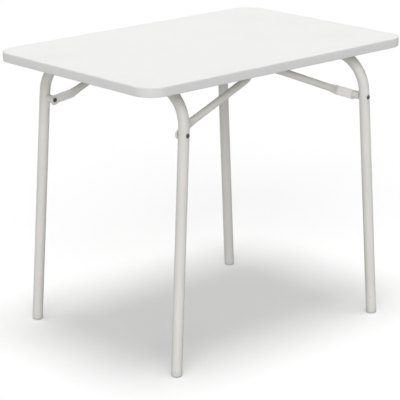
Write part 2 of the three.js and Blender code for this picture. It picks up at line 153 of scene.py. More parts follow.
class FittingSettings(PropertyGroup):
    """Sizes of the rivets, bushes, washers, saddles, hooks and screws"""
    seat_gap: size("Seat gap", "Gap between a fitting and what it sits on", 0.3)
    rivet_drop: size("Rivet drop", "Height of the hinges above the rivets", 69.1)
    rivet_diameter: size("Rivet diameter", "Diameter of a rivet's shank", 5)
    rivet_head: size("Rivet head", "Diameter of a rivet's head", 7.8)
    rivet_head_height: size("Rivet head height", "Height of a rivet's head", 1.2)
    rivet_hollow: size("Rivet hollow", "Diameter of the hollow in a rolled end", 3)
    bush_diameter: size("Bush diameter", "Outer diameter of a spacer bush", 14)
    washer_diameter: size("Washer diameter", "Outer diameter of a washer", 10)
    washer_thickness: size("Washer thickness", "Thickness of a washer", 0.5)
    clearance: size("Clearance", "Gap round a tube in its saddle or hook", 0.4)
    saddle_sheet: size("Saddle sheet", "Sheet thickness of a saddle", 1.8)
    saddle_width: size("Saddle width", "Width of a saddle along the crossbar", 18)
    saddle_ear: size("Saddle ear", "Length of a saddle's screwed ear", 14)
    saddle_from_bend: size("Saddle place", "Distance from the bend to a saddle", 31)
    hook_sheet: size("Hook sheet", "Sheet thickness of a hook", 2)
    hook_width: size("Hook width", "Width of a hook along the crossbar", 14)
    hook_tail: size("Hook tail", "Length of a hook's screwed tail", 20)
    hook_from_bend: size("Hook place", "Distance from the bend to a hook", 62.75)
    hook_lip: angle("Hook lip", "Where the hook's lip ends round the crossbar", 210)
    hook_mouth: angle("Hook mouth", "Where the hook starts round the crossbar", 80)
    hook_screw_inset: size("Hook screw inset", "Distance of the screws from the tail's end", 8)
    hook_screw_spacing: size("Hook screw spacing", "Distance between a hook's two screws", 7)
    screw_diameter: size("Screw diameter", "Diameter of a screw's shank", 3)
    screw_head: size("Screw head", "Diameter of a screw's head", 5.6)
    screw_head_height: size("Screw head height", "Height of a screw's head", 1.8)
    screw_depth: size("Screw depth", "Length of a screw in the board", 11)
    screw_tip: size("Screw tip", "Length of a screw's point", 2.5)
    edge_round: size("Edge radius", "Radius of the sheet's edges", 0.25)


class FinishSettings(PropertyGroup):
    """Colours of the finishes"""
    laminate: colour("Laminate", "White laminate of the board", (0.94, 0.94, 0.93))
    backing: colour("Backing", "Bare underside of the board", (0.5, 0.48, 0.42))
    trim: colour("Trim", "Plastic of the edge trim", (0.84, 0.84, 0.835))
    paint: colour("Paint", "Powder coat of the tubes", (0.855, 0.845, 0.81))
    cap: colour("Foot cap", "Plastic of the foot caps", (0.82, 0.82, 0.81))
    zinc: colour("Zinc", "Plating of the saddles, hooks and washers", (0.72, 0.73, 0.74))
    steel: colour("Steel", "Plated steel of the screws", (0.45, 0.45, 0.44))
    rivet: colour("Rivet", "Blackened steel of the rivets", (0.1, 0.1, 0.1))


class StageSettings(PropertyGroup):
    """Floor and light"""
    floor_size: size("Floor size", "Length of the floor's sides", 40000)
    floor_grey: level("Floor grey", "Grey that the floor's matt surface shows", 0.84)
    floor_bounce: level("Floor bounce", "Share of light that the floor throws back", 0.47)
    floor_glow: level("Floor glow", "White that the camera sees on the floor", 0.265)
    sky_level: level("Sky level", "Light from all round", 0.21)
    top_light: level("Top light", "Strength of the light from above", 1.56)
    top_spread: angle("Top light spread", "Angle that the light from above fills", 26)
    front_light: level("Front light", "Strength of the light from the front", 1.6)
    front_spread: angle("Front light spread", "Angle that the light from the front fills", 50)


class TableSettings(PropertyGroup):
    """All the settings of the table and its stage"""
    top: bpy.props.PointerProperty(type=TopSettings)
    legs: bpy.props.PointerProperty(type=LegSettings)
    brace: bpy.props.PointerProperty(type=BraceSettings)
    fittings: bpy.props.PointerProperty(type=FittingSettings)
    finish: bpy.props.PointerProperty(type=FinishSettings)
    stage: bpy.props.PointerProperty(type=StageSettings)


# Places that the pieces share, in metres round one hinge: X inwards, Y towards the outer leg, Z up

def hinge_matrix(side):
    joint = next(j for j in frame["joints"] if j["name"] == f"{side}_leg_fold")
    along = -Vector(joint["axis"]).normalized()
    turn = Matrix((along.cross(UP), along, UP)).transposed()
    return Matrix.Translation(joint["pos_m"]) @ turn.to_4x4()


def on_leg(settings, end, distance):
    legs = settings.legs
    half_span = settings.top.width / 2 - legs.inset
    return Vector((-distance * sin(legs.lean), end * (half_span + distance * tan(legs.splay)),
                   -distance * cos(legs.lean)))


def layout(settings):
    """The places that follow from the sizes. The shift is the hinge's distance from the table's middle."""
    top, legs, brace, fittings = settings.top, settings.legs, settings.brace, settings.fittings
    hinge = hinge_matrix("left").translation
    at = SimpleNamespace(leg_radius=legs.tube_diameter / 2, brace_radius=brace.tube_diameter / 2)
    at.shift = hinge.y
    at.ceiling = top.height - top.thickness - hinge.z
    at.leg_reach = hinge.z / cos(legs.lean)
    at.leg_half_width = at.leg_radius / cos(legs.splay)
    rivet_distance = fittings.rivet_drop / cos(legs.lean)
    at.rivets = {name: on_leg(settings, end, rivet_distance) for name, end in ENDS.items()}
    rivet = at.rivets["outer"]
    at.outer_leg_face = rivet.y - at.leg_half_width
    at.inner_leg_face = at.rivets["inner"].y + at.leg_half_width
    at.inner_flat_face = at.inner_leg_face + fittings.washer_thickness + 2 * fittings.seat_gap
    at.flat_half_span = -at.inner_flat_face - at.shift
    at.outer_flat_face = at.flat_half_span + brace.outer_reach - at.shift
    at.arm_half_span = at.flat_half_span - brace.flat_joggle - at.brace_radius
    at.bar = Vector((-hinge.x - brace.bar_spacing / 2, 0,
                     at.ceiling - brace.bar_clearance - at.brace_radius))
    bar_way = at.bar - Vector((rivet.x, 0, rivet.z))
    at.arm_length = sqrt(bar_way.length ** 2 - brace.arm_drop ** 2)
    at.slope = asin(bar_way.z / bar_way.length) + asin(brace.arm_drop / bar_way.length)
    at.saddle_distance = top.width / 2 - legs.inset - legs.bend_radius - fittings.saddle_from_bend
    at.hook_distance = at.arm_half_span - brace.bend_radius - fittings.hook_from_bend
    return at


# Nodes

def find_socket(sockets, key):
    if isinstance(key, int):
        return sockets[key]
    for socket in sockets:
        if socket.identifier == key:
            return socket
    return next(socket for socket in sockets if socket.name == key and socket.enabled)


def maths(operation, reflected=False):
    """A method that adds a Math node, with its two values the other way round if it is reflected"""
    def method(wire, value=None):
        first, second = (value, wire) if reflected else (wire, value)
        return wire.graph.node("ShaderNodeMath", {0: first, 1: second}, operation=operation)
    return method


class Wire:
    """An output socket, whose arithmetic adds Math nodes to its tree"""
    __add__, __radd__ = maths("ADD"), maths("ADD", True)
    __sub__, __rsub__ = maths("SUBTRACT"), maths("SUBTRACT", True)
    __mul__, __rmul__ = maths("MULTIPLY"), maths("MULTIPLY", True)
    __truediv__, __rtruediv__ = maths("DIVIDE"), maths("DIVIDE", True)
    __pow__ = maths("POWER")
    at_least, at_most = maths("MAXIMUM"), maths("MINIMUM")
    root, sign, size = maths("SQRT"), maths("SIGN"), maths("ABSOLUTE")

    def __init__(self, graph, socket):
        self.graph = graph
        self.socket = socket

    def other(self, key):
        return Wire(self.graph, find_socket(self.socket.node.outputs, key))


class Graph:
    """A node tree, to which every node is added in one way. Its patterns read one place."""

    def __init__(self, tree):
        self.tree = tree
        self.place = None

    def node(self, kind, inputs=None, output=0, **settings):
        """Adds a node, sets it up, and gives its sockets their values or links"""
        made = self.tree.nodes.new(kind)
        for name, value in settings.items():
            setattr(made, name, value)
        for key, value in (inputs or {}).items():
            socket = find_socket(made.inputs, key)
            if isinstance(value, Wire):
                self.tree.links.new(value.socket, socket)
            elif value is not None:
                socket.default_value = value
        return Wire(self, find_socket(made.outputs, output)) if made.outputs else None

    def height(self):
        return self.node("ShaderNodeSeparateXYZ", {"Vector": self.place}, "Z")

    def cloud(self, scale, detail=2.0, stretch=None):
        """Noise from 0 to 1, at so many blotches a metre"""
        place = self.place
        if stretch:
            place = self.node("ShaderNodeMapping", {"Vector": place, "Scale": stretch})
        return self.node("ShaderNodeTexNoise", {"Vector": place, "Scale": scale, "Detail": detail})

    def ramp(self, value, low, high):
        """0 to 1 as the value goes from low to high"""
        return self.node("ShaderNodeMapRange", {"Value": value, "From Min": low, "From Max": high},
                         interpolation_type="SMOOTHSTEP")

    def between(self, low, high, factor):
        """A colour between two colours"""
        low, high = (each if isinstance(each, Wire) else (*each, 1) for each in (low, high))
        return self.node("ShaderNodeMix", {"Factor_Float": factor, "A_Color": low, "B_Color": high},
                         "Result_Color", data_type="RGBA")

    def bumps(self, height, strength, depth):
        return self.node("ShaderNodeBump", {"Height": height, "Strength": strength, "Distance": depth})


def emptied(owner):
    """The node tree of a material or a world, with nothing in it"""
    owner.use_nodes = True
    owner.node_tree.nodes.clear()
    return Graph(owner.node_tree)


# Shapes made by geometry nodes

SOCKET_KINDS = {float: "NodeSocketFloat", int: "NodeSocketInt", bpy.types.Object: "NodeSocketObject",
                bpy.types.Material: "NodeSocketMaterial"}
trees = {}


def shape_tree(build, values):
    """A tree with an input for each value, whose shape is realized and gets its material"""
    tree = bpy.data.node_groups.new(build.__name__, "GeometryNodeTree")
    for direction in ("INPUT", "OUTPUT"):
        tree.interface.new_socket("Geometry", in_out=direction, socket_type="NodeSocketGeometry")
    for label, value in values.items():
        tree.interface.new_socket(label, in_out="INPUT", socket_type=SOCKET_KINDS[type(value)])
    graph = Graph(tree)
    group = tree.nodes.new("NodeGroupInput")
    given = {socket.name: Wire(graph, socket) for socket in group.outputs if socket.name}
    whole = graph.node("GeometryNodeRealizeInstances", {"Geometry": build(graph, given)})
    finished = graph.node("GeometryNodeSetMaterial", {"Geometry": whole, "Material": given["Material"]})
    graph.node("NodeGroupOutput", {"Geometry": finished})
    return tree


def rounded_path(graph, given):
    line = graph.node("GeometryNodeMeshToCurve", {"Mesh": given["Geometry"]})
    return graph.node("GeometryNodeFilletCurve", {
        "Curve": line, "Radius": given["Bend Radius"], "Count": given["Bend Steps"]}, mode="POLY")


def tube_ring(graph, given):
    return graph.node("GeometryNodeCurvePrimitiveCircle", {
        "Resolution": given["Sides"], "Radius": given["Tube Radius"]})


def bent_tube(graph, given):
    """A round tube along a bent line, open at both ends"""
    return graph.node("GeometryNodeCurveToMesh", {
        "Curve": rounded_path(graph, given), "Profile Curve": tube_ring(graph, given)})


def edging(graph, given):
    """A profile swept round a rounded outline"""
    profile = graph.node("GeometryNodeObjectInfo", {"Object": given["Profile"]}, "Geometry")
    section = graph.node("GeometryNodeMeshToCurve", {"Mesh": profile})
    path = graph.node("GeometryNodeSetCurveNormal", {"Curve": rounded_path(graph, given)}, mode="Z_UP")
    return graph.node("GeometryNodeCurveToMesh", {"Curve": path, "Profile Curve": section})


def pressed_brace(graph, given):
    """A closed tube along a bent line, with the ends of its arms pressed flat. X runs along the arms."""
    path = graph.node("GeometryNodeResampleCurve", {
        "Curve": rounded_path(graph, given), "Length": given["Section Length"]}, mode="LENGTH")
    tube = graph.node("GeometryNodeCurveToMesh", {
        "Curve": path, "Profile Curve": tube_ring(graph, given), "Fill Caps": True})
    x = graph.node("ShaderNodeSeparateXYZ", {"Vector": graph.node("GeometryNodeInputPosition")})
    y, z = x.other("Y"), x.other("Z")
    side = y.sign()
    across = y - side * given["Arm Half Span"]
    up = z + given["Arm Drop"]

    def fading(kind, start, length):
        return graph.node("ShaderNodeMapRange", {
            "Value": x, "From Min": start, "From Max": start + length, "To Min": 1.0, "To Max": 0.0},
            interpolation_type=kind)

    pressed = fading("SMOOTHSTEP", given["Flat Length"], given["Blend Length"])
    turned_out = fading("LINEAR", given["Seat Length"], given["Turn Length"])
    shift = given["Flat Shift"] + side.at_least(0.0) * given["Outer Reach"]
    half_width, half_thickness = given["Flat Width"] / 2, given["Flat Thickness"] / 2
    rounding = (1 - (x.at_most(0.0) / half_width) ** 2.0).at_least(0.0).root()
    flat_up = up / given["Tube Radius"] * half_width * rounding
    past_flank = (flat_up.size() - (half_width * rounding - half_thickness)) / half_thickness
    edge = (1 - past_flank.at_least(0.0) ** 2.0).at_least(0.0).root()
    flat_across = across.sign() * half_thickness * edge
    middle = side * (given["Arm Half Span"] + shift * turned_out)
    new_y = middle + across + (flat_across - across) * pressed
    new_z = up + (flat_up - up) * pressed - given["Arm Drop"]
    moved = graph.node("ShaderNodeCombineXYZ", {"X": x, "Y": new_y, "Z": new_z})
    return graph.node("GeometryNodeSetPosition", {"Geometry": tube, "Position": moved})


def placed_pattern(graph, given):
    """One copy of a pattern on every point, turned as the point's turn attribute says"""
    pattern = graph.node("GeometryNodeObjectInfo", {"Object": given["Pattern"]}, "Geometry")
    turn = graph.node("GeometryNodeInputNamedAttribute", {"Name": "turn"}, data_type="FLOAT_VECTOR")
    rotation = graph.node("FunctionNodeEulerToRotation", {"Euler": turn})
    return graph.node("GeometryNodeInstanceOnPoints", {
        "Points": given["Geometry"], "Instance": pattern, "Rotation": rotation})


def new_mesh(name, points, edges=(), faces=()):
    mesh = bpy.data.meshes.new(name)
    mesh.from_pydata([tuple(point) for point in points], edges, faces)
    return mesh


def line_mesh(name, points, closed=False):
    number = len(points)
    return new_mesh(name, points, [(i, (i + 1) % number) for i in range(number if closed else number - 1)])


def add_object(name, data):
    made = bpy.data.objects.new(name, data)
    bpy.context.scene.collection.objects.link(made)
    return made


def settle(piece):
    """Turns what the piece's modifiers make into its own plain mesh"""
    graph = bpy.context.evaluated_depsgraph_get()
    graph.update()
    mesh = bpy.data.meshes.new_from_object(piece.evaluated_get(graph))
    piece.modifiers.clear()
    piece.data = mesh
    mesh.name = piece.name
    return piece


def grow(name, start, build, slot, values):
    """The piece that a tree makes from a start mesh and the values of its inputs"""
    values = {**values, "Material": material_for(slot)}
    if build not in trees:
        trees[build] = shape_tree(build, values)
    piece = add_object(name, start)
    modifier = piece.modifiers.new("Shape", "NODES")
    modifier.node_group = trees[build]
    identifiers = {item.name: item.identifier for item in trees[build].interface.items_tree
                   if item.in_out == "INPUT"}
    for label, value in values.items():
        modifier[identifiers[label]] = value
    return settle(piece)


def close_up(mesh):
    """Merges doubled points and turns the faces outwards"""
    shape = bmesh.new()
    shape.from_mesh(mesh)
    bmesh.ops.remove_doubles(shape, verts=shape.verts, dist=MERGE_DISTANCE)
    bmesh.ops.recalc_face_normals(shape, faces=shape.faces)
    shape.to_mesh(mesh)
    shape.free()


def finish_piece(piece, body, slot, *nodes):
    """Smooth faces with sharp edges, the body that carries the piece and the nodes that it stands for"""
    mesh = piece.data
    mesh.polygons.foreach_set("use_smooth", [True] * len(mesh.polygons))
    mesh.set_sharp_from_angle(angle=SHARP_ANGLE)
    mesh.update()
    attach(piece, body)
    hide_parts(*nodes)


def place_on(name, pattern, places, slot):
    """The pattern on each place, as one piece"""
    start = new_mesh(name, [place.translation for place in places])
    turns = start.attributes.new("turn", "FLOAT_VECTOR", "POINT")
    turns.data.foreach_set("vector", [number for place in places for number in place.to_euler()])
    return grow(name, start, placed_pattern, slot, {"Pattern": pattern})


def place_on_legs(name, node, pattern, places, end, slot):
    """The pattern on a rivet's axis, once on each leg frame. The end is its sign along Y."""
    rivet = places.rivets["outer"]
    across = Matrix.Translation((rivet.x, 0, rivet.z)) @ Matrix.Rotation(-end * pi / 2, 4, "X")
    for side in SIDES:
        piece = place_on(f"{side}_{name}", pattern, [hinge_matrix(side) @ across], slot)
        close_up(piece.data)
        finish_piece(piece, f"{side}_legs", slot, f"{side}_{node}")
    drop(pattern)


def place_under_top(name, pattern, places, slot):
    piece = place_on(name, pattern, list(places.values()), slot)
    drop(pattern)
    finish_piece(piece, "table_top", slot, *places)


def drop(piece):
    bpy.data.objects.remove(piece)


# Shapes made point by point

def arc(radius, start, end, steps, centre=(0, 0), rise=None):
    """Points on an arc in plan, its two ends included. With a rise it is part of an ellipse."""
    turns = [start + (end - start) * i / steps for i in range(steps + 1)]
    return [(centre[0] + radius * cos(turn), centre[1] + (rise or radius) * sin(turn)) for turn in turns]


def closed_shape(name, points, rows, ends=()):
    """Faces between rows of points that go round, and the ends. Corners that fall together are left out."""
    faces = []
    for low, high in zip(rows, rows[1:]):
        for i, j in enumerate([*range(1, len(low)), 0]):
            corners = [low[i], low[j], high[j], high[i]]
            face = [corner for k, corner in enumerate(corners) if corner != corners[k - 1]]
            if len(face) > 2:
                faces.append(face)
    mesh = new_mesh(name, points, (), faces + [list(end) for end in ends])
    close_up(mesh)
    return add_object(name, mesh)


def turned(name, profile, sides):
    """A turned shape from pairs of radius and height, up the outside. A closed profile makes a ring."""
    points, rows = [], []
    for radius, height in profile:
        circle = arc(radius, 0, 2 * pi, sides)[:-1] if radius else [(0, 0)]
        rows.append([len(points) + i % len(circle) for i in range(sides)])
        points += [(x, y, height) for x, y in circle]
    return closed_shape(name, points, rows)


def capped(name, rings):
    """A closed shape through rings of points, with a flat face on each end"""
    number = len(rings[0])
    rows = [range(number * i, number * (i + 1)) for i in range(len(rings))]
    return closed_shape(name, [point for ring in rings for point in ring], rows, (rows[0], rows[-1][::-1]))


def pressed_sheet(name, outline, width, edge_round):
    """A sheet bent to an outline in X and Z, with softened edges"""
    sheet = capped(name, [[(x, y, z) for x, z in outline] for y in (-width / 2, width / 2)])
    bevel = sheet.modifiers.new("Edges", "BEVEL")
    bevel.width = edge_round
    bevel.segments = 2
    bevel.limit_method = "ANGLE"
    bevel.angle_limit = SHARP_ANGLE
    return settle(sheet)


# Finishes, each the base colour, roughness and bumps of a surface

def shaded(value, share):
    return tuple(channel * share for channel in value)


def laminate(graph, settings):
    """White above, with the bare board showing just above the height of its underside"""
    white, bare, top = settings.finish.laminate, settings.finish.backing, settings.top
    underside = top.height - top.thickness
    pebble = graph.node("ShaderNodeTexVoronoi", {"Vector": graph.place, "Scale": 700.0, "Smoothness": 1.0},
                        feature="SMOOTH_F1")
    grain = pebble * 0.6 + graph.cloud(1500.0) * 0.4
    above = graph.between(shaded(white, 0.975), white, graph.ramp(graph.cloud(7.0, 4.0), 0.3, 0.6))
    below = graph.between(shaded(bare, 0.85), bare, graph.cloud(120.0, 6.0))
    is_above = graph.ramp(graph.height(), underside, underside + MM)
    return (graph.between(below, above, is_above), 0.36 + graph.cloud(45.0, 3.0) * 0.14,
            graph.bumps(grain, 0.25, 0.1 * MM))


def trim_plastic(graph, settings):
    """Fine lines along the trim from the die that it was drawn through"""
    trim = settings.finish.trim
    drawn = graph.cloud(1.0, 3.0, (3, 3, 1600))
    mottle = graph.ramp(drawn * 0.5 + graph.cloud(20.0, 3.0) * 0.5, 0.35, 0.6)
    return (graph.between(shaded(trim, 0.96), trim, mottle), 0.34 + drawn * 0.16,
            graph.bumps(drawn + graph.cloud(900.0) * 0.4, 0.2, 0.1 * MM))


def powder_coat(graph, settings):
    """Fine orange peel, with a few scuffs low on the legs"""
    paint = settings.finish.paint
    peel = graph.cloud(520.0, 2.0)
    mottle = graph.ramp(graph.cloud(14.0, 4.0), 0.35, 0.65)
    low = 1 - graph.ramp(graph.height(), 0.01, 0.16)
    scuffs = graph.ramp(graph.cloud(160.0, 5.0, (1, 1, 0.25)), 0.6, 0.72) * low
    clean = graph.between(shaded(paint, 0.965), paint, mottle)
    return (graph.between(clean, shaded(paint, 0.8), scuffs * 0.35), 0.33 + peel * 0.12 + scuffs * 0.2,
            graph.bumps(peel, 0.3, 0.12 * MM))


def cap_plastic(graph, settings):
    """Grained plastic, darker where it meets the floor: dusty there, and with a painted contact shadow"""
    cap = settings.finish.cap
    grain = graph.cloud(900.0, 3.0)
    near_floor = 1 - graph.ramp(graph.height(), 0.0, 6 * MM)
    # Painted contact shadow mixed with dirt: the colour goes darker in patches in the lowest 6 mm, where the
    # cap stands on the floor
    dust_and_contact_shade = near_floor * graph.ramp(graph.cloud(300.0, 4.0), 0.3, 0.7)
    return (graph.between(cap, shaded(cap, 0.72), dust_and_contact_shade), 0.45 + grain * 0.15,
            graph.bumps(grain, 0.3, 0.1 * MM))


def metal(name, rough, dark_share):
    """A brushed and faintly spangled metal"""
    def build(graph, settings):
        tint = getattr(settings.finish, name)
        grain = graph.node("ShaderNodeTexVoronoi", {"Vector": graph.place, "Scale": 420.0})
        brushed = graph.cloud(260.0, 4.0, (1, 6, 1))
        spangle = graph.ramp(grain * 0.5 + brushed * 0.5, 0.25, 0.65)
        return (graph.between(shaded(tint, dark_share), tint, spangle), rough + brushed * 0.18,
                graph.bumps(brushed, 0.2, 0.08 * MM))
    return build


METALLIC = {"Metallic": 0.92}
FINISHES = {
    "board": ("White laminate", {"Specular IOR Level": 0.4}, laminate),
    "trim": ("Edge trim plastic", {"Specular IOR Level": 0.45}, trim_plastic),
    "tube_paint": ("Off-white powder coat", {"Specular IOR Level": 0.5}, powder_coat),
    "cap_plastic": ("Foot cap plastic", {"Specular IOR Level": 0.4}, cap_plastic),
    "zinc": ("Zinc plate", METALLIC, metal("zinc", 0.3, 0.82)),
    "steel": ("Plated steel", METALLIC, metal("steel", 0.32, 0.8)),
    "rivet_steel": ("Blackened steel", METALLIC, metal("rivet", 0.34, 0.7)),
}
materials = {}


def material_for(slot):
    if slot not in materials:
        name, constants, build = FINISHES[slot]
        materials[slot] = bpy.data.materials.new(name)
        graph = emptied(materials[slot])
        graph.place = graph.node("ShaderNodeTexCoord", {}, "Object")
        changing = build(graph, bpy.context.scene.folding_table)
        shader = graph.node("ShaderNodeBsdfPrincipled", {
            **constants, **dict(zip(("Base Color", "Roughness", "Normal"), changing))})
        graph.node("ShaderNodeOutputMaterial", {"Surface": shader})
    return materials[slot]


# Operators

class TableOperator:
    """What every building step shares"""
    bl_options = {"REGISTER", "UNDO"}

    def execute(self, context):
        settings = context.scene.folding_table
        self.build(settings, layout(settings))
        return {"FINISHED"}


class BuildBoard(TableOperator, Operator):
    """Builds the board, grooved round its edge for the trim"""
    bl_idname = "folding_table.board"
    bl_label = "Build the board"

    def build(self, settings, places):
        top, ease = settings.top, settings.top.board_ease
        inset = top.trim_wall + top.trim_gap
        middle, bottom = top.height - top.thickness / 2, top.height - top.thickness
        groove = top.stem_thickness / 2 + top.trim_gap
        depth = inset + top.stem_depth + top.trim_gap
        edge = [(inset + ease, top.height), (inset, top.height - ease), (inset, middle + groove),
                (depth, middle + groove), (depth, middle - groove), (inset, middle - groove),
                (inset, bottom + ease), (inset + ease, bottom)]
        rings = []
        for ring_inset, z in edge:
            radius = top.corner_radius - ring_inset
            x, y = top.length / 2 - ring_inset - radius, top.width / 2 - ring_inset - radius
            ring = []
            for quarter, centre in enumerate(((x, y), (-x, y), (-x, -y), (x, -y))):
                start = quarter * pi / 2
                ring += arc(radius, start, start + pi / 2, top.corner_steps, centre)
            rings.append([(*point, z) for point in ring])
        board = capped("board", rings)
        board.data.materials.append(material_for("board"))
        finish_piece(board, "table_top", "board", "tabletop_board")


class BuildTrim(TableOperator, Operator):
    """Sweeps the edge trim round the board"""
    bl_idname = "folding_table.trim"
    bl_label = "Build the edge trim"

    def build(self, settings, places):
        top = settings.top
        half, wall = top.thickness / 2, top.trim_wall
        stem, stem_end = top.stem_thickness / 2, wall + top.trim_gap + top.stem_depth
        face_steps, edge_steps = 8, 5
        crown_half = half - top.trim_round
        lower = arc(top.trim_round, -pi / 2, 0, edge_steps,
                    (-top.trim_round - top.trim_crown, -crown_half))
        shares = [2 * i / face_steps - 1 for i in range(1, face_steps)]
        face = [(-top.trim_crown * share ** 2, crown_half * share) for share in shares]
        upper = [(x, -z) for x, z in reversed(lower)]
        inner = [(-wall, half), (-wall, stem), (-stem_end, stem), (-stem_end, -stem), (-wall, -stem),
                 (-wall, -half)]
        section = [(x, z, 0) for x, z in lower + face + upper + inner]
        profile = add_object("trim_profile", line_mesh("trim_profile", section, closed=True))
        x, y, z = top.length / 2, top.width / 2, top.height - half
        outline = line_mesh("edge_trim", [(x, y, z), (-x, y, z), (-x, -y, z), (x, -y, z)], closed=True)
        trim = grow("edging", outline, edging, "trim", {
            "Bend Radius": top.corner_radius, "Bend Steps": top.corner_steps, "Profile": profile})
        drop(profile)
        close_up(trim.data)
        finish_piece(trim, "table_top", "trim", "edge_trim")


class BuildLegFrames(TableOperator, Operator):
    """Bends the two leg frames"""
    bl_idname = "folding_table.leg_frames"
    bl_label = "Build the leg frames"

    def build(self, settings, places):
        legs = settings.legs
        foot = places.leg_reach - legs.cap_height / cos(legs.lean)
        line = [on_leg(settings, end, reach) for end, reach in ((-1, foot), (-1, 0), (1, 0), (1, foot))]
        for side in SIDES:
            start = line_mesh("legs", [hinge_matrix(side) @ point for point in line])
            tube = grow(f"{side}_leg_tube", start, bent_tube, "tube_paint", {
                "Bend Radius": legs.bend_radius, "Bend Steps": legs.bend_steps, "Sides": legs.sides,
                "Tube Radius": places.leg_radius})
            close_up(tube.data)
            wall = tube.modifiers.new("Wall", "SOLIDIFY")
            wall.thickness = legs.tube_wall
            wall.offset = -1
            finish_piece(settle(tube), f"{side}_legs", "tube_paint", f"{side}_leg_frame")


class BuildFootCaps(TableOperator, Operator):
    """Moulds the four foot caps"""
    bl_idname = "folding_table.foot_caps"
    bl_label = "Build the foot caps"

    def build(self, settings, places):
        legs, outer, ease = settings.legs, places.leg_radius, settings.fittings.seat_gap
        stem = outer - legs.tube_wall - ease
        top = legs.cap_height - ease
        end = top + legs.cap_stem
        low = legs.cap_round - legs.cap_allowance
        profile = [(0, -legs.cap_allowance)]
        profile += arc(legs.cap_round, -pi / 2, 0, steps=6, centre=(outer - legs.cap_round, low))
        profile += [(outer, top - ease), (outer - ease, top), (stem, top)]
        ribs, first_rib = 3, 0.4
        for number in range(ribs):
            rib = top + legs.cap_stem * (number + first_rib) / (ribs + first_rib)
            profile += [(stem - ease, rib), (stem, rib + ease), (stem, rib + 3 * ease),
                        (stem - ease, rib + 4 * ease)]
        profile += [(stem - ease, end - ease), (stem - 3 * ease, end), (0, end)]
        pattern = turned("cap_pattern", profile, legs.sides)
        for side in SIDES:
            for name, sign in ENDS.items():
                foot = on_leg(settings, sign, places.leg_reach)
                lean = UP.rotation_difference(on_leg(settings, sign, 0) - foot).to_matrix().to_4x4()
                place = hinge_matrix(side) @ Matrix.Translation(foot) @ lean
                cap = place_on(f"{side}_{name}_cap", pattern, [place], "cap_plastic")
                cut_level(cap.data)
                finish_piece(cap, f"{side}_legs", "cap_plastic", f"{side}_{name}_foot_cap")
        drop(pattern)


def cut_level(mesh):
    """Cuts off what lies below the floor and closes the cut"""
    shape = bmesh.new()
    shape.from_mesh(mesh)
    everything = shape.verts[:] + shape.edges[:] + shape.faces[:]
    cut = bmesh.ops.bisect_plane(shape, geom=everything, plane_co=(0, 0, 0), plane_no=(0, 0, -1),
                                 clear_outer=True)
    rim = [part for part in cut["geom_cut"] if isinstance(part, bmesh.types.BMEdge)]
    bmesh.ops.edgenet_fill(shape, edges=rim)
    shape.to_mesh(mesh)
    shape.free()
    close_up(mesh)


class BuildBraces(TableOperator, Operator):
    """Bends the two braces and presses their ends"""
    bl_idname = "folding_table.braces"
    bl_label = "Build the braces"

    def build(self, settings, places):
        brace, span, rivet = settings.brace, places.arm_half_span, places.rivets["outer"]
        just_inside = 0.999
        tip, bar = -brace.flat_width / 2 * just_inside, places.arm_length
        line = [(x, y, -brace.arm_drop) for x, y in ((tip, -span), (bar, -span), (bar, span), (tip, span))]
        values = {name.replace("_", " ").title(): getattr(brace, name) for name in (
            "bend_radius", "bend_steps", "sides", "section_length", "arm_drop", "flat_thickness",
            "flat_width", "flat_length", "blend_length", "outer_reach", "seat_length", "turn_length")}
        values.update({
            "Tube Radius": places.brace_radius, "Arm Half Span": span,
            "Flat Shift": places.flat_half_span - brace.flat_thickness / 2 - span})
        for side in SIDES:
            tube = grow(f"{side}_brace_tube", line_mesh("brace", line), pressed_brace, "tube_paint", values)
            tube.data.transform(hinge_matrix(side) @ Matrix.Translation((rivet.x, -places.shift, rivet.z))
                                @ Matrix.Rotation(-places.slope, 4, "Y"))
            close_up(tube.data)
            finish_piece(tube, f"{side}_brace", "tube_paint", f"{side}_brace")


class BuildRivets(TableOperator, Operator):
    """Sets the four rivets, with a round head outside the leg and a rolled end inside the brace"""
    bl_idname = "folding_table.rivets"
    bl_label = "Build the rivets"

    def build(self, settings, places):
        fittings, brace = settings.fittings, settings.brace
        head, high = fittings.rivet_head / 2, fittings.rivet_head_height
        shank, hollow = fittings.rivet_diameter / 2, fittings.rivet_hollow / 2
        rolled, roll_rise = (head + hollow) / 2, high * 0.45
        for name, end in ENDS.items():
            flat_face = places.outer_flat_face if end > 0 else places.inner_flat_face
            inside = end * flat_face - brace.flat_thickness - fittings.seat_gap
            outside = end * places.rivets[name].y + places.leg_half_width + fittings.seat_gap
            roll = arc(head - rolled, -pi, pi / 2, 12, centre=(rolled, inside - roll_rise), rise=roll_rise)
            dome = arc(head, 0, pi / 2, 6, centre=(0, outside), rise=high)
            profile = [(0, inside), *roll, (shank, inside), (shank, outside), *dome[:-1],
                       (0, outside + high)]
            pattern = turned("rivet_pattern", profile, sides=32)
            place_on_legs(f"{name}_rivet_head", f"{name}_rivet", pattern, places, end, "rivet_steel")


class BuildSpacers(TableOperator, Operator):
    """Turns the two spacer bushes and the two washers"""
    bl_idname = "folding_table.spacers"
    bl_label = "Build the bushes and washers"

    def build(self, settings, places):
        fittings, gap = settings.fittings, settings.fittings.seat_gap
        hole = fittings.rivet_diameter / 2 + gap
        rings = {
            "spacer_bush": (places.outer_flat_face, places.outer_leg_face, fittings.bush_diameter,
                            0.4 * MM, "tube_paint"),
            "washer": (places.inner_leg_face, places.inner_flat_face, fittings.washer_diameter,
                       0.1 * MM, "zinc")}
        for name, (from_face, to_face, diameter, ease, slot) in rings.items():
            start, end, radius = from_face + gap, to_face - gap, diameter / 2
            profile = [(hole, start), (radius - ease, start), (radius, start + ease), (radius, end - ease),
                       (radius - ease, end), (hole, end), (hole, start)]
            pattern = turned("ring_pattern", profile, sides=40)
            place_on_legs(f"{name}_ring", name, pattern, places, 1, slot)


